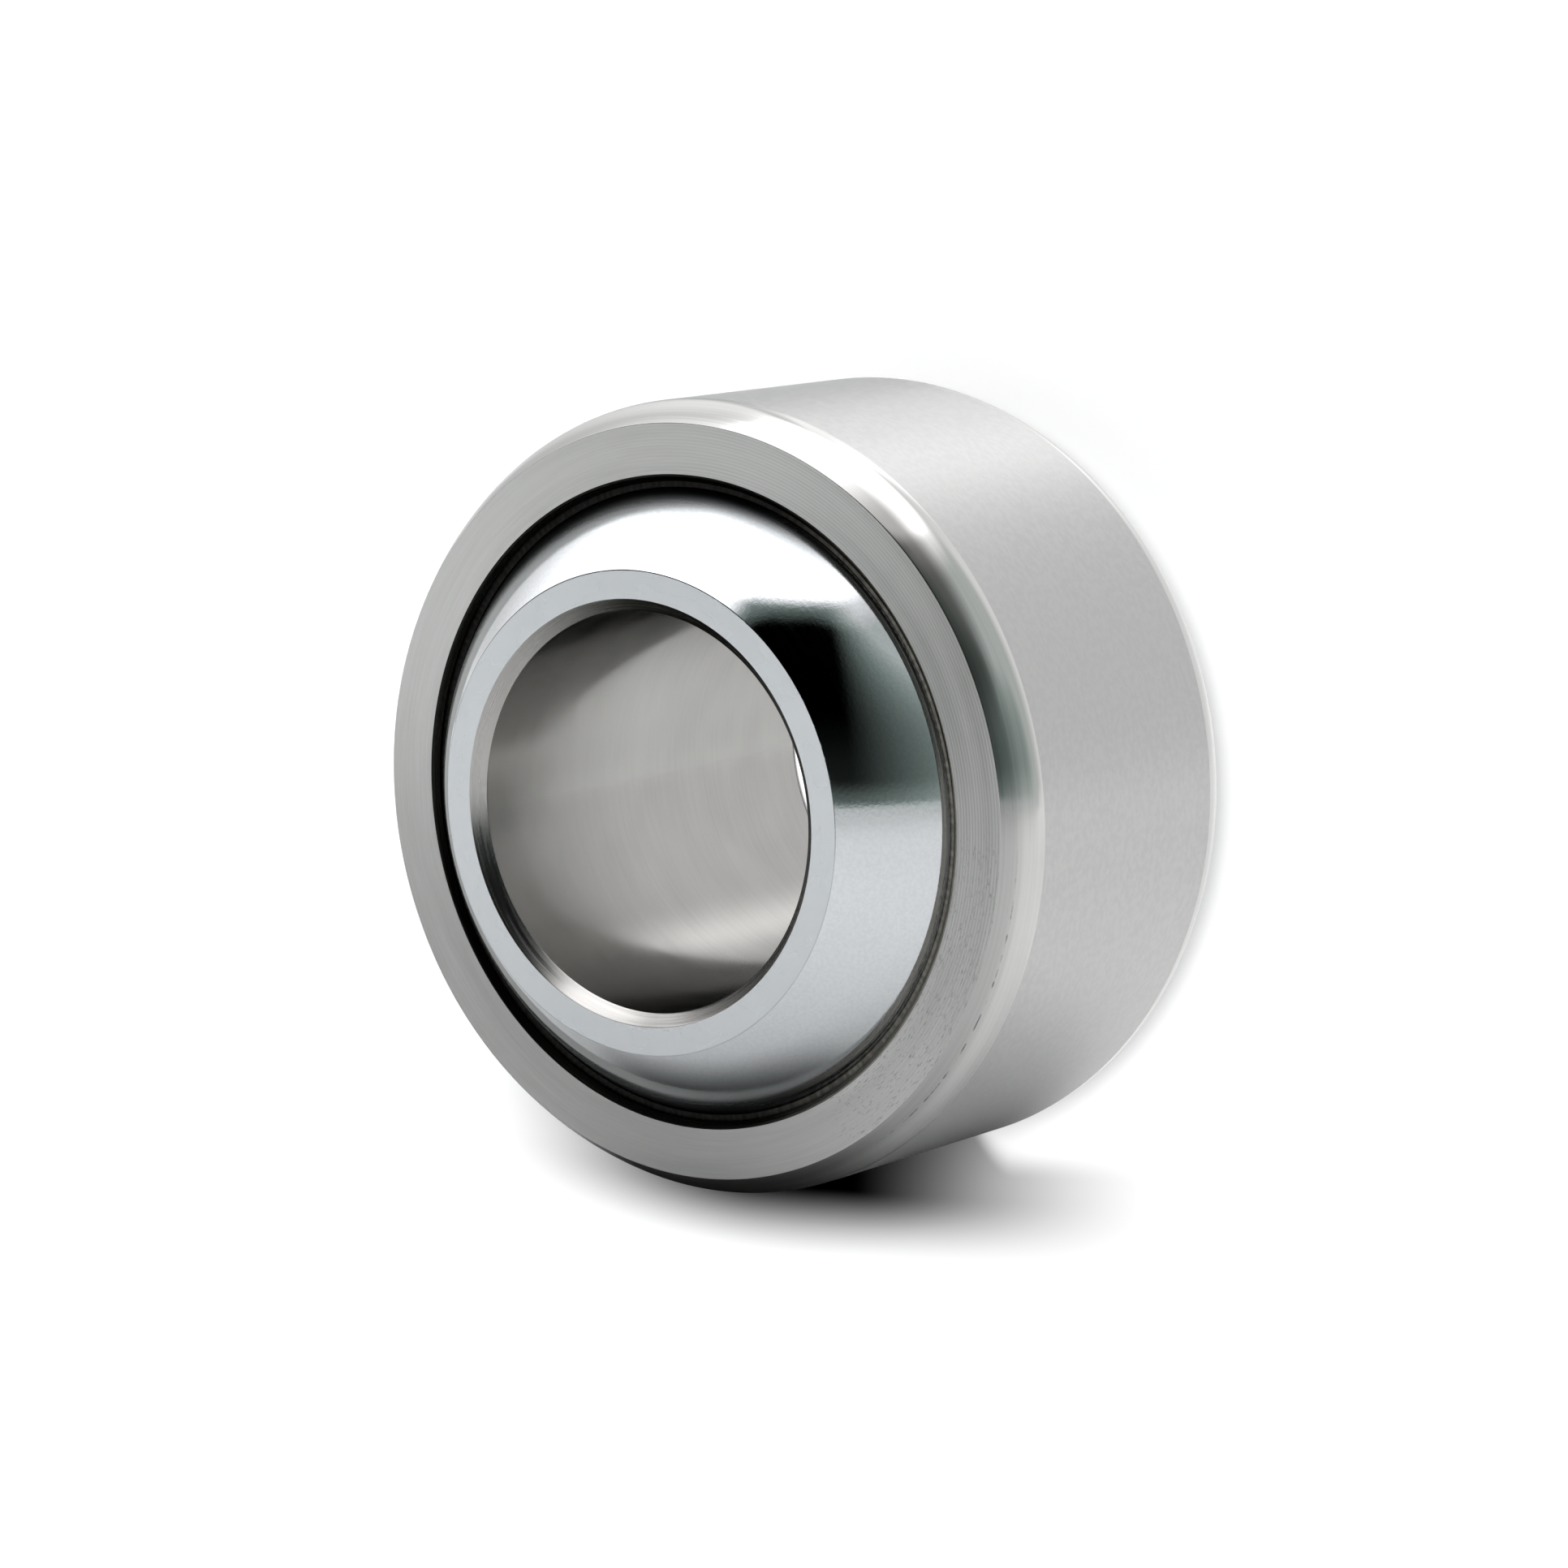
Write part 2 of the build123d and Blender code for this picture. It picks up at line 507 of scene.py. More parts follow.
# %% [markdown]
# ## Steel to start from
#
# Turned and ground steel has fine lines that all run one way, so it smears what it mirrors across them. The
# Principled shader has an anisotropy setting for that, with a tangent that follows the lines round the bore.
# Each finish below starts from this steel and adds its own marks. The shallow marks are bump, since real
# geometry a thousandth of a millimetre deep would need millions of faces.

# %% A plain steel
def steel(name, anisotropy=0.0, edge=1.0):
    """A new metal material, with its node tree and its shader. edge dims what is seen at a flat angle."""
    material = bpy.data.materials.new(name)
    material.use_nodes = True
    tree = material.node_tree
    shader = tree.nodes["Principled BSDF"]
    shader.inputs["Metallic"].default_value = 1.0
    shader.inputs["Specular Tint"].default_value = (edge, edge, edge, 1.0)
    if anisotropy:
        tangent = tree.nodes.new("ShaderNodeTangent")
        tangent.direction_type = "RADIAL"
        tangent.axis = "Z"
        tree.links.new(tangent.outputs[0], shader.inputs["Tangent"])
        shader.inputs["Anisotropic"].default_value = anisotropy
        shader.inputs["Anisotropic Rotation"].default_value = 0.25
    return material, tree, shader


# %% Helpers for a finish
workshop = {}
NOISE_LOW = 0.3
NOISE_HIGH = 0.7


def relief(tree, shader, height, depth):
    """Raises the surface by up to depth where height is 1."""
    bump = tree.nodes.new("ShaderNodeBump")
    bump.inputs["Strength"].default_value = 1.0
    bump.inputs["Distance"].default_value = depth
    feed(tree, height, bump.inputs["Height"])
    tree.links.new(bump.outputs["Normal"], shader.inputs["Normal"])


def roughen(tree, shader, pattern, smooth, rough):
    """Roughness that follows a noise, from smooth where it is low to rough where it is high."""
    feed(tree, fade(tree, pattern, NOISE_LOW, NOISE_HIGH, smooth, rough), shader.inputs["Roughness"])


def paint(tree, shader, colour):
    """Gives the shader its colour."""
    feed(tree, colour, shader.inputs["Base Color"])


def keep(finish, material):
    """Puts a finished material on the workshop's shelf, under the name of its finish."""
    workshop[finish] = material
    print(finish, "is drawn with", len(material.node_tree.nodes), "nodes")


# %% [markdown]
# ## Five finishes on the ball
#
# The sphere is polished until it mirrors the room, and beside the gap it is rougher and painted darker, as
# shade. The flats are finely ground, so they blur what they mirror into one even tone. The edge between the
# two is nearly black on one side. The chamfer was turned with a coarse feed and is painted darker on one
# side, as shade, and the bore was honed, which leaves a silky surface with faint rings and painted shade
# towards its upper mouth.
#
# A photograph of steel could be laid over the mesh instead, but it would carry its own light with it. So
# each finish is a small function that starts from noise in the shape of the tool's marks. The same noise
# then drives relief, roughness and colour, because one scratch changes all three on real steel.

# %% Polished sphere
# The side that faces the picture's right.
right_side = math.radians(-108.0)
mottle_size = 0.13 * MM
gap_zone_edge = face_height - 0.25 * MM
gap_shade_fade = 1.3 * MM
matt_fade = 2.15 * MM


def polished_sphere():
    """A mirror with the finest unevenness, rougher and painted with shade beside the gap, not on the right.
    """
    material, tree, shader = steel("polished_sphere")
    place = lathe_place(tree)
    noise = tree.nodes.new("ShaderNodeTexNoise")
    coordinates = tree.nodes.new("ShaderNodeTexCoord")
    tree.links.new(coordinates.outputs["Object"], noise.inputs["Vector"])
    noise.inputs["Scale"].default_value = 1 / mottle_size
    noise.inputs["Detail"].default_value = 4.0
    noise.inputs["Roughness"].default_value = 0.6
    mottle = noise.outputs["Fac"]
    relief(tree, shader, mottle, 0.0011 * MM)
    # Beside the gap the ball is rougher and its colour is painted shade, save on the right side.
    off_right = side(tree, place, right_side, 30.0, 80.0, 1.0, 0.0)
    gap_zone_reach = side(tree, place, right_side + math.pi, 30.0, 80.0, 0.0, 0.65 * MM)
    lowered = maths(tree, "SUBTRACT", maths(tree, "ABSOLUTE", place.height), gap_zone_reach)
    gap_shade = maths(tree, "MULTIPLY", fade(tree, lowered, gap_zone_edge, gap_zone_edge + gap_shade_fade, 1.0, 0.0), off_right)
    matt = maths(tree, "MULTIPLY", fade(tree, lowered, gap_zone_edge, gap_zone_edge + matt_fade, 0.27, 0.0), off_right)
    lines = marks(tree, place, place.height, 6 * MM, 0.05 * MM)
    polish = fade(tree, lines, 0.3, 0.75, 0.03, 0.07)
    feed(tree, maths(tree, "ADD", matt, polish), shader.inputs["Roughness"])
    clean = tint(tree, fade(tree, mottle, 0.35, 0.65), (0.685, 0.705, 0.725), (0.735, 0.755, 0.775))
    paint(tree, shader, tint(tree, gap_shade, clean, (0.02, 0.022, 0.024)))
    return material


keep("polished sphere", polished_sphere())

# %% Shoulder edge
def shoulder_edge():
    """A ground edge with a rough grain, nearly black on one side where the burr was left."""
    material, tree, shader = steel("shoulder_edge", 0.0, 0.5)
    place = lathe_place(tree)
    grain = marks(tree, place, place.height, 0.25 * MM, 0.03 * MM, 2.0, 2.0)
    relief(tree, shader, grain, 0.002 * MM)
    shader.inputs["Roughness"].default_value = 0.25
    # Nearly black on one side of the edge.
    near_burr = side(tree, place, burr_middle, 45.0, 80.0)
    dark_edge_share = maths(tree, "MULTIPLY", near_burr, fade(tree, grain, 0.75, 0.58))
    paint(tree, shader, tint(tree, dark_edge_share, (0.50, 0.52, 0.54), (0.03, 0.03, 0.03)))
    return material


keep("shoulder edge", shoulder_edge())

# %% Ground flat
def ground_flat():
    """A fine, even grind with a faint cloudiness, a little blue."""
    material, tree, shader = steel("ground_flat", 0.4)
    place = lathe_place(tree)
    cloud = marks(tree, place, place.radius, 3 * MM, 0.8 * MM, 5.0)
    roughen(tree, shader, cloud, 0.22, 0.30)
    paint(tree, shader, tint(tree, cloud, (0.575, 0.60, 0.625), (0.625, 0.65, 0.675)))
    return material


keep("ground flat", ground_flat())

# %% Bore chamfer
# The side painted darker, as shade.
bore_chamfer_shade_side = math.radians(-50.0)


def bore_chamfer():
    """Coarse turned lines, with painted shade on one side."""
    material, tree, shader = steel("bore_chamfer", 0.5, 0.3)
    place = lathe_place(tree)
    lines = marks(tree, place, place.height, 7 * MM, 0.09 * MM)
    relief(tree, shader, lines, 0.0003 * MM)
    roughen(tree, shader, lines, 0.2, 0.3)
    # Painted shade on one side.
    bore_chamfer_shade = side(tree, place, bore_chamfer_shade_side, 30.0, 85.0)
    clean = tint(tree, lines, (0.42, 0.41, 0.40), (0.47, 0.46, 0.45))
    paint(tree, shader, tint(tree, bore_chamfer_shade, clean, (0.10, 0.10, 0.09)))
    return material


keep("bore chamfer", bore_chamfer())

# %% Honed bore
def honed_bore():
    """Faint rings and soft clouds, with painted shade growing towards the upper mouth."""
    material, tree, shader = steel("honed_bore", 0.3, 0.35)
    place = lathe_place(tree)
    rings = marks(tree, place, place.height, 6 * MM, 0.15 * MM)
    cloud = marks(tree, place, place.height, 5 * MM, 1.6 * MM, 3.0)
    relief(tree, shader, rings, 0.0003 * MM)
    roughen(tree, shader, cloud, 0.14, 0.20)
    shade = maths(tree, "MULTIPLY_ADD", rings, 0.3, maths(tree, "MULTIPLY", cloud, 0.7))
    clean = tint(tree, shade, (0.40, 0.395, 0.385), (0.54, 0.535, 0.52))
    # Painted shade, growing towards the upper mouth.
    bore_mouth_shade = fade(tree, place.height, 0.0, bore_wall_height, 0.0, 0.8)
    paint(tree, shader, tint(tree, bore_mouth_shade, clean, (0.25, 0.245, 0.235)))
    return material


keep("honed bore", honed_bore())

# %% [markdown]
# ## Finishes on the ring
#
# The outside is ground on a wheel that leaves short, overlapping scratches round it, so it has a soft sheen
# with a faint grain. The faces are turned: a pointed tool crept outward and left a fine groove for every
# turn, fresh on one side and worn smooth on the other, and here and there it tore out a speck. Their colour
# is painted lighter on one side and darker on the right side, as light and shade. The chamfer was cut more
# finely. Its inner cut is painted darker than its outer one, as shade, most of all on one side, and the knee
# between the two is broken in places. Grooves are drawn with a sine of the radius, which keeps their spacing
# true, and a slow noise makes them waver as the tool did.

# %% Ground seat
def ground_seat():
    """The outside, which fits the housing."""
    material, tree, shader = steel("ground_seat", 0.55)
    place = lathe_place(tree)
    scratches = marks(tree, place, place.height, 0.8 * MM, 0.07 * MM, 0.0, 2.0)
    cloud = marks(tree, place, place.height, 0.26 * MM, 0.24 * MM, 7.0, 3.0)
    blotches = maths(tree, "MULTIPLY_ADD", scratches, 0.2, maths(tree, "MULTIPLY", cloud, 0.8))
    relief(tree, shader, blotches, 0.0005 * MM)
    roughen(tree, shader, cloud, 0.32, 0.38)
    shade = fade(tree, blotches, 0.36, 0.64)
    paint(tree, shader, tint(tree, shade, (0.54, 0.54, 0.54), (0.59, 0.59, 0.585)))
    return material


keep("ground seat", ground_seat())

# %% Turned face
feed_per_turn = 0.115 * MM
torn_side = math.radians(-134.0)
fresh_side = math.radians(-75.0)
# Towards this side the face is painted lighter, as light.
face_lit_side = fresh_side + 1.4


def turned_face():
    """A groove for every turn of the lathe, deepest on the fresh side, with specks torn out on another."""
    material, tree, shader = steel("turned_face", 0.7, 0.2)
    place = lathe_place(tree)
    unsteady = marks(tree, place, place.radius, 15 * MM, 0.6 * MM, 3.0)
    waver = maths(tree, "MULTIPLY", unsteady, 5.0)
    turns = maths(tree, "MULTIPLY_ADD", place.radius, 2 * math.pi / feed_per_turn, waver)
    grooves = maths(tree, "MULTIPLY_ADD", maths(tree, "SINE", turns), 0.5, 0.5)
    scuffs = marks(tree, place, place.radius, 3 * MM, 0.07 * MM)
    specks = marks(tree, place, place.radius, 0.3 * MM, 0.035 * MM, 9.0)
    torn = maths(tree, "MULTIPLY", fade(tree, specks, 0.62, 0.70), side(tree, place, torn_side, 12.0, 34.0))
    fresh = side(tree, place, fresh_side, 15.0, 85.0, 0.04, 0.6)
    lines = maths(tree, "MULTIPLY_ADD", maths(tree, "SUBTRACT", grooves, 0.5), fresh, 0.5)
    lines = maths(tree, "MULTIPLY_ADD", maths(tree, "SUBTRACT", scuffs, 0.5), 0.5, lines)
    height = maths(tree, "SUBTRACT", lines, maths(tree, "MULTIPLY", torn, 1.5))
    relief(tree, shader, height, 0.0015 * MM)
    roughen(tree, shader, unsteady, 0.46, 0.52)
    # Painted light on one side and painted shade on the right side.
    face_painted_light = side(tree, place, face_lit_side, 30.0, 85.0, 0.0, 0.22)
    face_painted_shade = side(tree, place, right_side, 12.0, 45.0, 0.0, 0.16)
    shade = maths(tree, "MULTIPLY_ADD", lines, 0.45, 0.25)
    shade = maths(tree, "SUBTRACT", maths(tree, "ADD", shade, face_painted_light), face_painted_shade)
    shade = maths(tree, "SUBTRACT", shade, torn)
    paint(tree, shader, tint(tree, shade, (0.36, 0.36, 0.355), (0.78, 0.785, 0.775)))
    return material


keep("turned face", turned_face())

# %% Turned chamfer
# The side where the inner cut is painted darkest, as shade.
chamfer_shade_side = math.radians(-66.0)
knee_line = 0.022 * MM


def turned_chamfer():
    """Two smooth cuts, the inner one painted darker as shade, most on one side, with a broken dark line at
    the knee.
    """
    material, tree, shader = steel("turned_chamfer", 0.5)
    place = lathe_place(tree)
    ridges = marks(tree, place, place.radius, 12 * MM, 0.04 * MM)
    bands = marks(tree, place, place.radius, 30 * MM, 0.11 * MM, 2.0)
    relief(tree, shader, ridges, 0.0004 * MM)
    roughen(tree, shader, bands, 0.09, 0.15)
    outer = fade(tree, place.radius, knee[0] - 0.12 * MM, knee[0] + 0.2 * MM)
    streaks = maths(tree, "MULTIPLY", maths(tree, "ADD", ridges, bands), 0.5)
    streaks = fade(tree, streaks, 0.35, 0.65, 0.0, 0.2)
    # The inner cut is painted darker than the outer one, as shade.
    share = maths(tree, "MULTIPLY_ADD", outer, 0.8, streaks)
    clean = tint(tree, share, (0.44, 0.44, 0.435), (0.70, 0.70, 0.69))
    # More painted shade on the inner cut towards one side.
    chamfer_shade = maths(tree, "SUBTRACT", side(tree, place, chamfer_shade_side, 11.0, 24.0, 0.0, 0.95), outer)
    clean = tint(tree, chamfer_shade, clean, (0.16, 0.155, 0.15))
    from_knee = maths(tree, "ABSOLUTE", maths(tree, "SUBTRACT", place.radius, knee[0]))
    line = fade(tree, from_knee, 0.006 * MM, knee_line, 1.0, 0.0)
    breaks = marks(tree, place, place.radius, 0.5 * MM, 0.2 * MM, 3.0, 2.0)
    line = maths(tree, "MULTIPLY", line, fade(tree, breaks, 0.42, 0.6))
    line = maths(tree, "MULTIPLY", line, side(tree, place, torn_side, 12.0, 30.0))
    paint(tree, shader, tint(tree, line, clean, (0.20, 0.20, 0.20)))
    return material


keep("turned chamfer", turned_chamfer())

# %% Race and its broken edge
def race_edge():
    """Dark steel, painted nearly black as shade and paler on the right side as painted light."""
    material, tree, shader = steel("race_edge", 0.4, 0.3)
    place = lathe_place(tree)
    lines = marks(tree, place, place.height, 8 * MM, 0.03 * MM)
    relief(tree, shader, lines, 0.002 * MM)
    roughen(tree, shader, lines, 0.25, 0.35)
    # Painted shade, nearly black, round most of the edge, and painted light on the right side.
    right_lit_share = side(tree, place, right_side, 20.0, 75.0)
    paint(tree, shader, tint(tree, right_lit_share, (0.015, 0.015, 0.013), (0.24, 0.23, 0.21)))
    return material


keep("race edge", race_edge())
workshop["race"] = workshop["race edge"]

# %% [markdown]
# ## The liner's cloth
#
# The threads are soaked in a dark resin. Most of the way round they are painted nearly black, as shade, and
# on the right side a dull brown grey, as light. A picture of a weave would be far too coarse here. A noise
# as coarse as the threads gives each its own shade, and a finer one makes them fuzzy.

# %% Woven cloth
def woven_cloth():
    """Dull threads in dark resin, painted nearly black as shade and paler on the right side as light."""
    material = bpy.data.materials.new("woven_cloth")
    material.use_nodes = True
    tree = material.node_tree
    shader = tree.nodes["Principled BSDF"]
    place = lathe_place(tree)
    threads = marks(tree, place, place.height, thread_width, thread_width, 0.0, 0.0)
    fuzz = marks(tree, place, place.height, 0.06 * MM, 0.05 * MM, 4.0, 2.0)
    relief(tree, shader, maths(tree, "ADD", threads, maths(tree, "MULTIPLY", fuzz, 0.4)), 0.02 * MM)
    shader.inputs["Roughness"].default_value = 0.8
    shader.inputs["Specular IOR Level"].default_value = 0.2
    # Painted nearly black as shade round most of the edge, and paler on the right side as painted light.
    right_lit_share = side(tree, place, right_side, 25.0, 75.0, 0.06, 1.0)
    share = maths(tree, "MULTIPLY", right_lit_share, fade(tree, threads, NOISE_LOW, NOISE_HIGH, 0.6, 1.0))
    paint(tree, shader, tint(tree, share, (0.001, 0.001, 0.001), (0.30, 0.285, 0.25)))
    return material


keep("woven liner", woven_cloth())

# %% Put the finishes on the pieces
for piece, finishes in ((ball, ball_finishes), (ring, ring_finishes), (liner, liner_finishes)):
    for finish in finishes:
        piece.data.materials.append(workshop[finish])
    print(piece.name, "wears", [material.name for material in piece.data.materials])

# %% [markdown]
# ## The camera
#
# A long lens from 20 centimetres away keeps the circles true. The camera looks down on the bearing at an
# angle to its bore, and is rolled so that the bore points left and towards the viewer. A camera could be
# aimed with a constraint, but three directions, right, up and towards the camera, serve again for the room
# and the shade.

# %% The directions of the picture
camera_tilt = math.radians(37.34)
camera_roll = math.radians(-102.06)

to_camera = Vector((0.0, -math.sin(camera_tilt), math.cos(camera_tilt)))
level_right = Vector((1.0, 0.0, 0.0))
level_up = to_camera.cross(level_right)
picture_right = level_right * math.cos(camera_roll) + level_up * math.sin(camera_roll)
picture_up = level_up * math.cos(camera_roll) - level_right * math.sin(camera_roll)


def from_picture(right, up, toward):
    """A direction or distance given as the picture shows it, in the frame's own axes."""
    return picture_right * right + picture_up * up + to_camera * toward


print("picture's right is", [round(value, 3) for value in picture_right])

# %% Set up the camera
camera_distance = 199.01 * MM
camera_aim_right = 0.564 * MM
camera_aim_up = 0.167 * MM
lens_length = 127.88
sensor_width = 36.0

camera_data = bpy.data.cameras.new("camera")
camera_data.lens = lens_length
camera_data.sensor_width = sensor_width
camera_data.clip_start = 1 * MM
camera = bpy.data.objects.new("camera", camera_data)
bpy.context.scene.collection.objects.link(camera)
camera_place = Matrix((picture_right, picture_up, to_camera)).transposed().to_4x4()
camera_place.translation = from_picture(-camera_aim_right, -camera_aim_up, camera_distance)
camera.matrix_world = camera_place
bpy.context.scene.camera = camera
print("camera at", [round(value / MM, 1) for value in camera.matrix_world.translation])

# %% [markdown]
# ## The studio
#
# Polished steel has no colour of its own to show: it shows the room. So the room is made first of all for
# the ball. It has a white table, a wide white ceiling light, pale walls and a dark gap round the camera,
# which gives the ball its black shape with soft edges. Lamps and panels could be stood round the bearing
# instead, but their soft edges would be hard to place. Here the room is drawn by the direction in which a
# ray leaves the bearing, as an azimuth round the upright and an elevation above the table, both in degrees.
# Azimuth 0 is towards the camera and 90 is to the right. The turn is the same angle counted from 0 to 360.

# %% The room's directions
DEGREE = math.radians(1.0)
room_up = from_picture(0.0, 0.989, 0.148).normalized()
room_right = picture_right
room_front = room_right.cross(room_up)

world = bpy.data.worlds.new("studio_room")
world.use_nodes = True
bpy.context.scene.world = world
room = world.node_tree
room.nodes.clear()
ray = room.nodes.new("ShaderNodeTexCoord")


def along(direction):
    """How far a ray's direction runs along another one."""
    dot = room.nodes.new("ShaderNodeVectorMath")
    dot.operation = "DOT_PRODUCT"
    room.links.new(ray.outputs["Generated"], dot.inputs[0])
    dot.inputs[1].default_value = direction
    return dot.outputs["Value"]


elevation = maths(room, "DIVIDE", maths(room, "ARCSINE", along(room_up)), DEGREE)
azimuth = maths(room, "DIVIDE", maths(room, "ARCTAN2", along(room_right), along(room_front)), DEGREE)
turn = maths(room, "WRAP", azimuth, 360.0, 0.0)
print("the room's upright is", [round(value, 3) for value in room_up])

# %% Helpers for brightness
def product(*values):
    """Several values multiplied together."""
    result = values[0]
    for value in values[1:]:
        result = maths(room, "MULTIPLY", result, value)
    return result


def total(*values):
    """Several values added up."""
    result = values[0]
    for value in values[1:]:
        result = maths(room, "ADD", result, value)
    return result


# %% The right wall and the window behind
# The wall grows brighter away from the gap's edge and with height, up to a limit.
gap_edge = 15.5
wall_end = (186.0, 172.0)
past_gap = maths(room, "DIVIDE", maths(room, "SUBTRACT", turn, gap_edge), 30.0)
past_gap = maths(room, "MAXIMUM", past_gap, 0.0)
rise = maths(room, "POWER", maths(room, "MAXIMUM", maths(room, "DIVIDE", elevation, 60.0), 0.0), 3.0)
right_wall = product(maths(room, "POWER", past_gap, 1.5), maths(room, "MULTIPLY_ADD", rise, 1.3, 0.2))
limit_by_turn = fade(room, turn, 80.0, 108.0, 0.55, 0.90)
limit_by_height = fade(room, elevation, 56.0, 68.0, 0.55, 1.0)
right_wall = maths(room, "MINIMUM", right_wall, maths(room, "MAXIMUM", limit_by_turn, limit_by_height))
right_wall = product(right_wall, fade(room, turn, *wall_end))
back_window = product(fade(room, turn, 130.0, 158.0), fade(room, turn, 148.0, 168.0, 1.0, 0.4))
back_window = product(back_window, fade(room, elevation, 10.0, 40.0), fade(room, turn, *wall_end))
print("the right wall begins at azimuth", gap_edge)

# %% The far corner and the left wall
corner_end = (226.0, 208.0)
left_start = (246.0, 256.0)
far_corner = product(fade(room, turn, 175.0, 190.0), fade(room, turn, *corner_end))
far_corner = product(far_corner, fade(room, elevation, 0.0, 45.0, 0.7, 1.1))
left_back = product(fade(room, turn, *corner_end, 1.0, 0.0), fade(room, turn, *left_start, 1.0, 0.0))
left_back = product(left_back, fade(room, elevation, 5.0, 40.0, 0.8, 1.8))
left_low = fade(room, elevation, 16.0, 6.0, 0.06, 0.8)
left_high = fade(room, elevation, 42.0, 54.0, 0.0, 2.4)
left_wall = product(fade(room, turn, *left_start), fade(room, turn, 332.0, 300.0))
left_wall = product(left_wall, total(left_low, left_high))
print("the left wall begins at turn", left_start[0])

# %% The ceiling light over the dark gap
# Its lower edge is an arch with a faint rim below it, which comes lower at both corners.
light_edge = (63.6, 71.5)
rim_edge = (58.0, 66.0)
off_middle = maths(room, "ADD", azimuth, 8.0)
arch = maths(room, "MINIMUM", product(off_middle, off_middle, 0.0013), 4.0)
arch = product(arch, fade(room, azimuth, 42.0, 20.0))
right_corner = product(fade(room, azimuth, 4.0, 28.0, 0.0, 5.2), fade(room, azimuth, 80.0, 50.0))
corners = total(right_corner, fade(room, azimuth, -14.0, -34.0, 0.0, 4.0))
rim = fade(room, total(elevation, corners), *rim_edge, 0.0, 0.22)
light = fade(room, total(elevation, arch), *light_edge, 0.0, 2.4)
print("the ceiling light begins at elevation", light_edge[0])

# %% The foot of the dark gap, and the table
table_edge = (-4.0, -9.0)
skirting = total(fade(room, elevation, 8.0, 0.0, 0.0, 0.13), fade(room, elevation, 30.0, 4.0, 0.0, 0.012))
skirting = product(skirting, fade(room, azimuth, 90.0, 55.0))
far_table = fade(room, elevation, *table_edge, 0.62, 1.0)
table = maths(room, "MAXIMUM", far_table, fade(room, azimuth, 60.0, 95.0, 0.0, 0.92))
print("the table is at its whitest from elevation", table_edge[1], "down")

# %% Put the room together
above = total(right_wall, back_window, far_corner, left_back, left_wall, rim, light, skirting)
above = maths(room, "MINIMUM", above, 2.6)
brightness = room.nodes.new("ShaderNodeMix")
feed(room, fade(room, elevation, 0.8, -1.5), brightness.inputs["Factor"])
feed(room, above, brightness.inputs["A"])
feed(room, table, brightness.inputs["B"])
glow = brightness.outputs["Result"]
background = room.nodes.new("ShaderNodeBackground")
cast = tint(room, fade(room, glow, 0.1, 0.8), (0.80, 1.0, 0.92), (1.0, 1.0, 1.0))
feed(room, cast, background.inputs["Color"])
feed(room, glow, background.inputs["Strength"])
room_output = room.nodes.new("ShaderNodeOutputWorld")
room.links.new(background.outputs[0], room_output.inputs["Surface"])
print("the room is drawn with", len(room.nodes), "nodes")

# %% [markdown]
# ## The floor and the white card
#
# The bearing stands on a pale sheet. The sheet glows only where it lies under the bore, so that the bore
# looks open. A soft dark shade lies on it below and right of the bearing, as a bearing that lies on its
# outside would throw it. A lamp could not throw that shade from a bearing that stands on its end, so it is
# laid into the sheet's colour. A pale dome further out gives every view the same plain background.
#
# Steel on a table mirrors the table, with a dark place where the two touch. A white card that only the steel
# can see stands in for that table.

# %% Pale materials
def pale(name, glow, grey=0.8):
    """A dull pale material, which may glow by itself."""
    material = bpy.data.materials.new(name)
    material.use_nodes = True
    shader = material.node_tree.nodes["Principled BSDF"]
    shader.inputs["Base Color"].default_value = (grey, grey, grey, 1.0)
    shader.inputs["Roughness"].default_value = 0.9
    shader.inputs["Specular IOR Level"].default_value = 0.0
    shader.inputs["Emission Color"].default_value = (1.0, 1.0, 1.0, 1.0)
    shader.inputs["Emission Strength"].default_value = glow
    return material


def distance_along(tree, direction):
    """How far the shaded point lies from the bearing's middle, along a direction."""
    dot = tree.nodes.new("ShaderNodeVectorMath")
    dot.operation = "DOT_PRODUCT"
    tree.links.new(tree.nodes.new("ShaderNodeNewGeometry").outputs["Position"], dot.inputs[0])
    dot.inputs[1].default_value = direction
    return dot.outputs["Value"]


# %% The sheet under the bearing
# The shade is placed in the picture's own directions. Each pair says where it is absent and where full.
# Left of the bearing's middle it also reaches up under the bearing, and is paler there.
floor_radius = 300 * MM
floor_grey = 0.8
window_radius = bore_radius * 1.02
shade_left = (-14.5 * MM, -1.5 * MM)
shade_right = (15 * MM, 2 * MM)
shade_bottom = (-18.7 * MM, -15.6 * MM)
shade_top = (-13.5 * MM, -14.9 * MM)
shade_bend = 95 * MM
bend_start = 1 * MM
under_bearing = (8 * MM, 0.5 * MM)
under_reach = 14 * MM
paler_under = (-12.8 * MM, -9 * MM)
share_under = 0.3


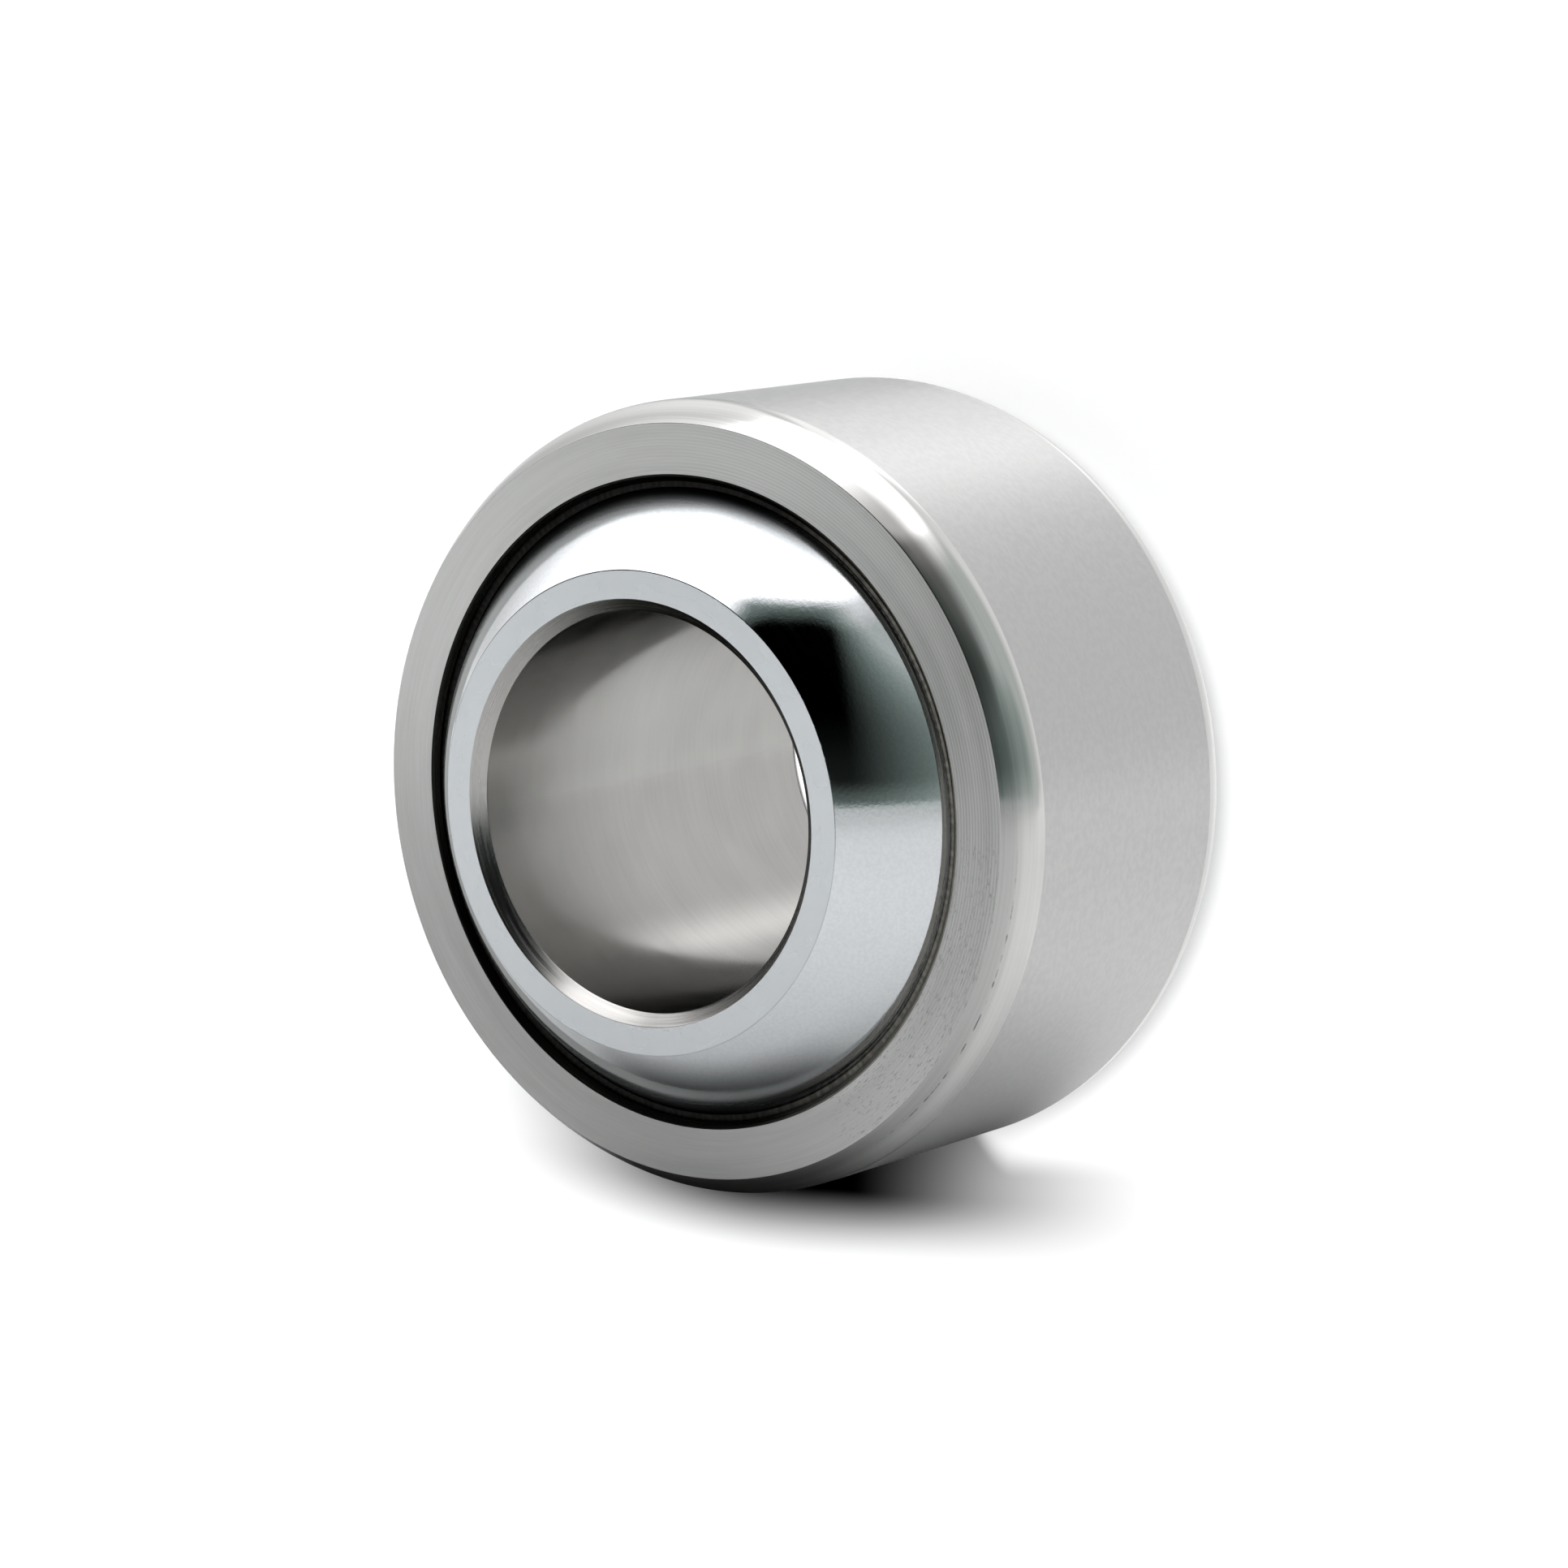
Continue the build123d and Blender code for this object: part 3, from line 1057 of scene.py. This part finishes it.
def lit_sheet(name):
    """The floor's material, with a window that glows under the bore and the shade beside the bearing."""
    material = pale(name, 0.0)
    tree = material.node_tree
    shader = tree.nodes["Principled BSDF"]
    window = fade(tree, lathe_place(tree).radius, window_radius, window_radius * 1.02, 1.0, 0.0)
    feed(tree, window, shader.inputs["Emission Strength"])
    rightward = distance_along(tree, picture_right)
    upward = distance_along(tree, picture_up)
    leftward = maths(tree, "MAXIMUM", maths(tree, "SUBTRACT", bend_start, rightward), 0.0)
    bend = maths(tree, "DIVIDE", maths(tree, "MULTIPLY", leftward, leftward), shade_bend)
    lowered = maths(tree, "SUBTRACT", upward, bend)
    reach = fade(tree, rightward, *under_bearing, 0.0, under_reach)
    length = maths(tree, "MULTIPLY", fade(tree, rightward, *shade_left), fade(tree, rightward, *shade_right))
    top = fade(tree, maths(tree, "SUBTRACT", upward, reach), *shade_top)
    width = maths(tree, "MULTIPLY", fade(tree, lowered, *shade_bottom), top)
    hidden = fade(tree, upward, *paler_under, 1.0, share_under)
    shade = maths(tree, "MULTIPLY", maths(tree, "MULTIPLY", length, width), hidden)
    paint(tree, shader, tint(tree, shade, (floor_grey, floor_grey, floor_grey), (0.0, 0.0, 0.0)))
    return material


bpy.ops.mesh.primitive_circle_add(
    vertices=128, radius=floor_radius, fill_type="NGON", location=(0, 0, cad_box[0].z)
)
floor = bpy.context.object
floor.name = "floor"
floor.data.materials.append(lit_sheet("floor_sheet"))
floor.visible_glossy = False
floor.visible_shadow = False
print("floor at", round(floor.location.z / MM, 2), "millimetres")

# %% The card that the steel mirrors
card_radius = 280 * MM
card_gap = 0.1 * MM


def shaded_table(name):
    """The card's material, with the bearing's shade painted along the line of contact and on the left."""
    material = pale(name, 0.0)
    tree = material.node_tree
    x, y, z = [distance_along(tree, axis) for axis in ((1, 0, 0), (0, 1, 0), (0, 0, 1))]
    rightward = distance_along(tree, room_right)
    frontward = distance_along(tree, room_front)
    away = length_of(tree, rightward, frontward)
    # Painted shade along the line of contact and on the left.
    contact = fade(tree, length_of(tree, x, y), seat_radius, seat_radius * 1.2, 0.95, 0.0)
    near_middle = fade(tree, maths(tree, "ABSOLUTE", z), 5 * MM, 10 * MM, 1.0, 0.0)
    contact = maths(tree, "MULTIPLY", contact, near_middle)
    to_front = fade(tree, frontward, 30 * MM, 180 * MM, 0.0, 0.22)
    near_right = maths(tree, "SUBTRACT", fade(tree, away, 0.0, 60 * MM, 0.92, 0.81), to_front)
    near_left = fade(tree, away, 5 * MM, 80 * MM, 0.70, 0.84)
    grey = tree.nodes.new("ShaderNodeMix")
    feed(tree, fade(tree, rightward, -18 * MM, -2 * MM), grey.inputs["Factor"])
    feed(tree, near_left, grey.inputs["A"])
    feed(tree, near_right, grey.inputs["B"])
    shade = maths(tree, "MULTIPLY", grey.outputs["Result"], maths(tree, "SUBTRACT", 1.0, contact))
    colour = tree.nodes.new("ShaderNodeCombineColor")
    for socket in colour.inputs:
        tree.links.new(shade, socket)
    paint(tree, tree.nodes["Principled BSDF"], colour.outputs[0])
    return material


bpy.ops.mesh.primitive_circle_add(vertices=64, radius=card_radius, fill_type="NGON")
card = bpy.context.object
card.name = "card"
card.location = room_up * -(seat_radius + card_gap)
card.rotation_euler = room_up.to_track_quat("Z", "Y").to_euler()
card.data.materials.append(shaded_table("card"))
card.visible_camera = False
card.visible_diffuse = False
card.visible_shadow = False
print("card", round((seat_radius + card_gap) / MM, 2), "millimetres from the bore's middle")

# %% The dome behind it all
dome_radius = 800 * MM
bpy.ops.mesh.primitive_uv_sphere_add(segments=64, ring_count=32, radius=dome_radius)
dome = bpy.context.object
dome.name = "dome"
dome.data.materials.append(pale("dome", 1.0, 0.0))
dome.visible_diffuse = False
dome.visible_glossy = False
dome.visible_transmission = False
dome.visible_shadow = False
print("stage:", floor.name, card.name, dome.name)

# %% [markdown]
# ## A soft lamp over the floor
#
# The steel needs no lamp, because the room gives it all it shows. The floor does: one far, broad lamp beside
# the camera makes it white and lets the bearing throw a soft shadow. Light linking keeps the lamp off the
# steel, where its mirror image would be a hard white spot.

# %% Hang the lamp
lamp_way = from_picture(-0.08, 0.07, 0.994).normalized()
lamp_distance = 220 * MM
lamp_width = math.radians(18)
lamp_strength = 3.1

lamp_data = bpy.data.lights.new("key", "SUN")
lamp_data.angle = lamp_width
lamp_data.energy = lamp_strength
lamp = bpy.data.objects.new("key", lamp_data)
bpy.context.scene.collection.objects.link(lamp)
lamp.location = lamp_way * lamp_distance
lamp.rotation_euler = lamp_way.to_track_quat("Z", "Y").to_euler()
lit_things = bpy.data.collections.new("key shines on")
lit_things.objects.link(floor)
lamp.light_linking.receiver_collection = lit_things
print("the lamp looks", round(math.degrees(lamp_width)), "degrees wide")

# %% [markdown]
# ## Last touches
#
# The usual view transform would turn white into a pale grey, to leave room for brighter lights. Here white
# has to stay white.

# %% Keep the whites as they are
view = bpy.context.scene.view_settings
view.view_transform = "Standard"
print("view transform:", view.view_transform)
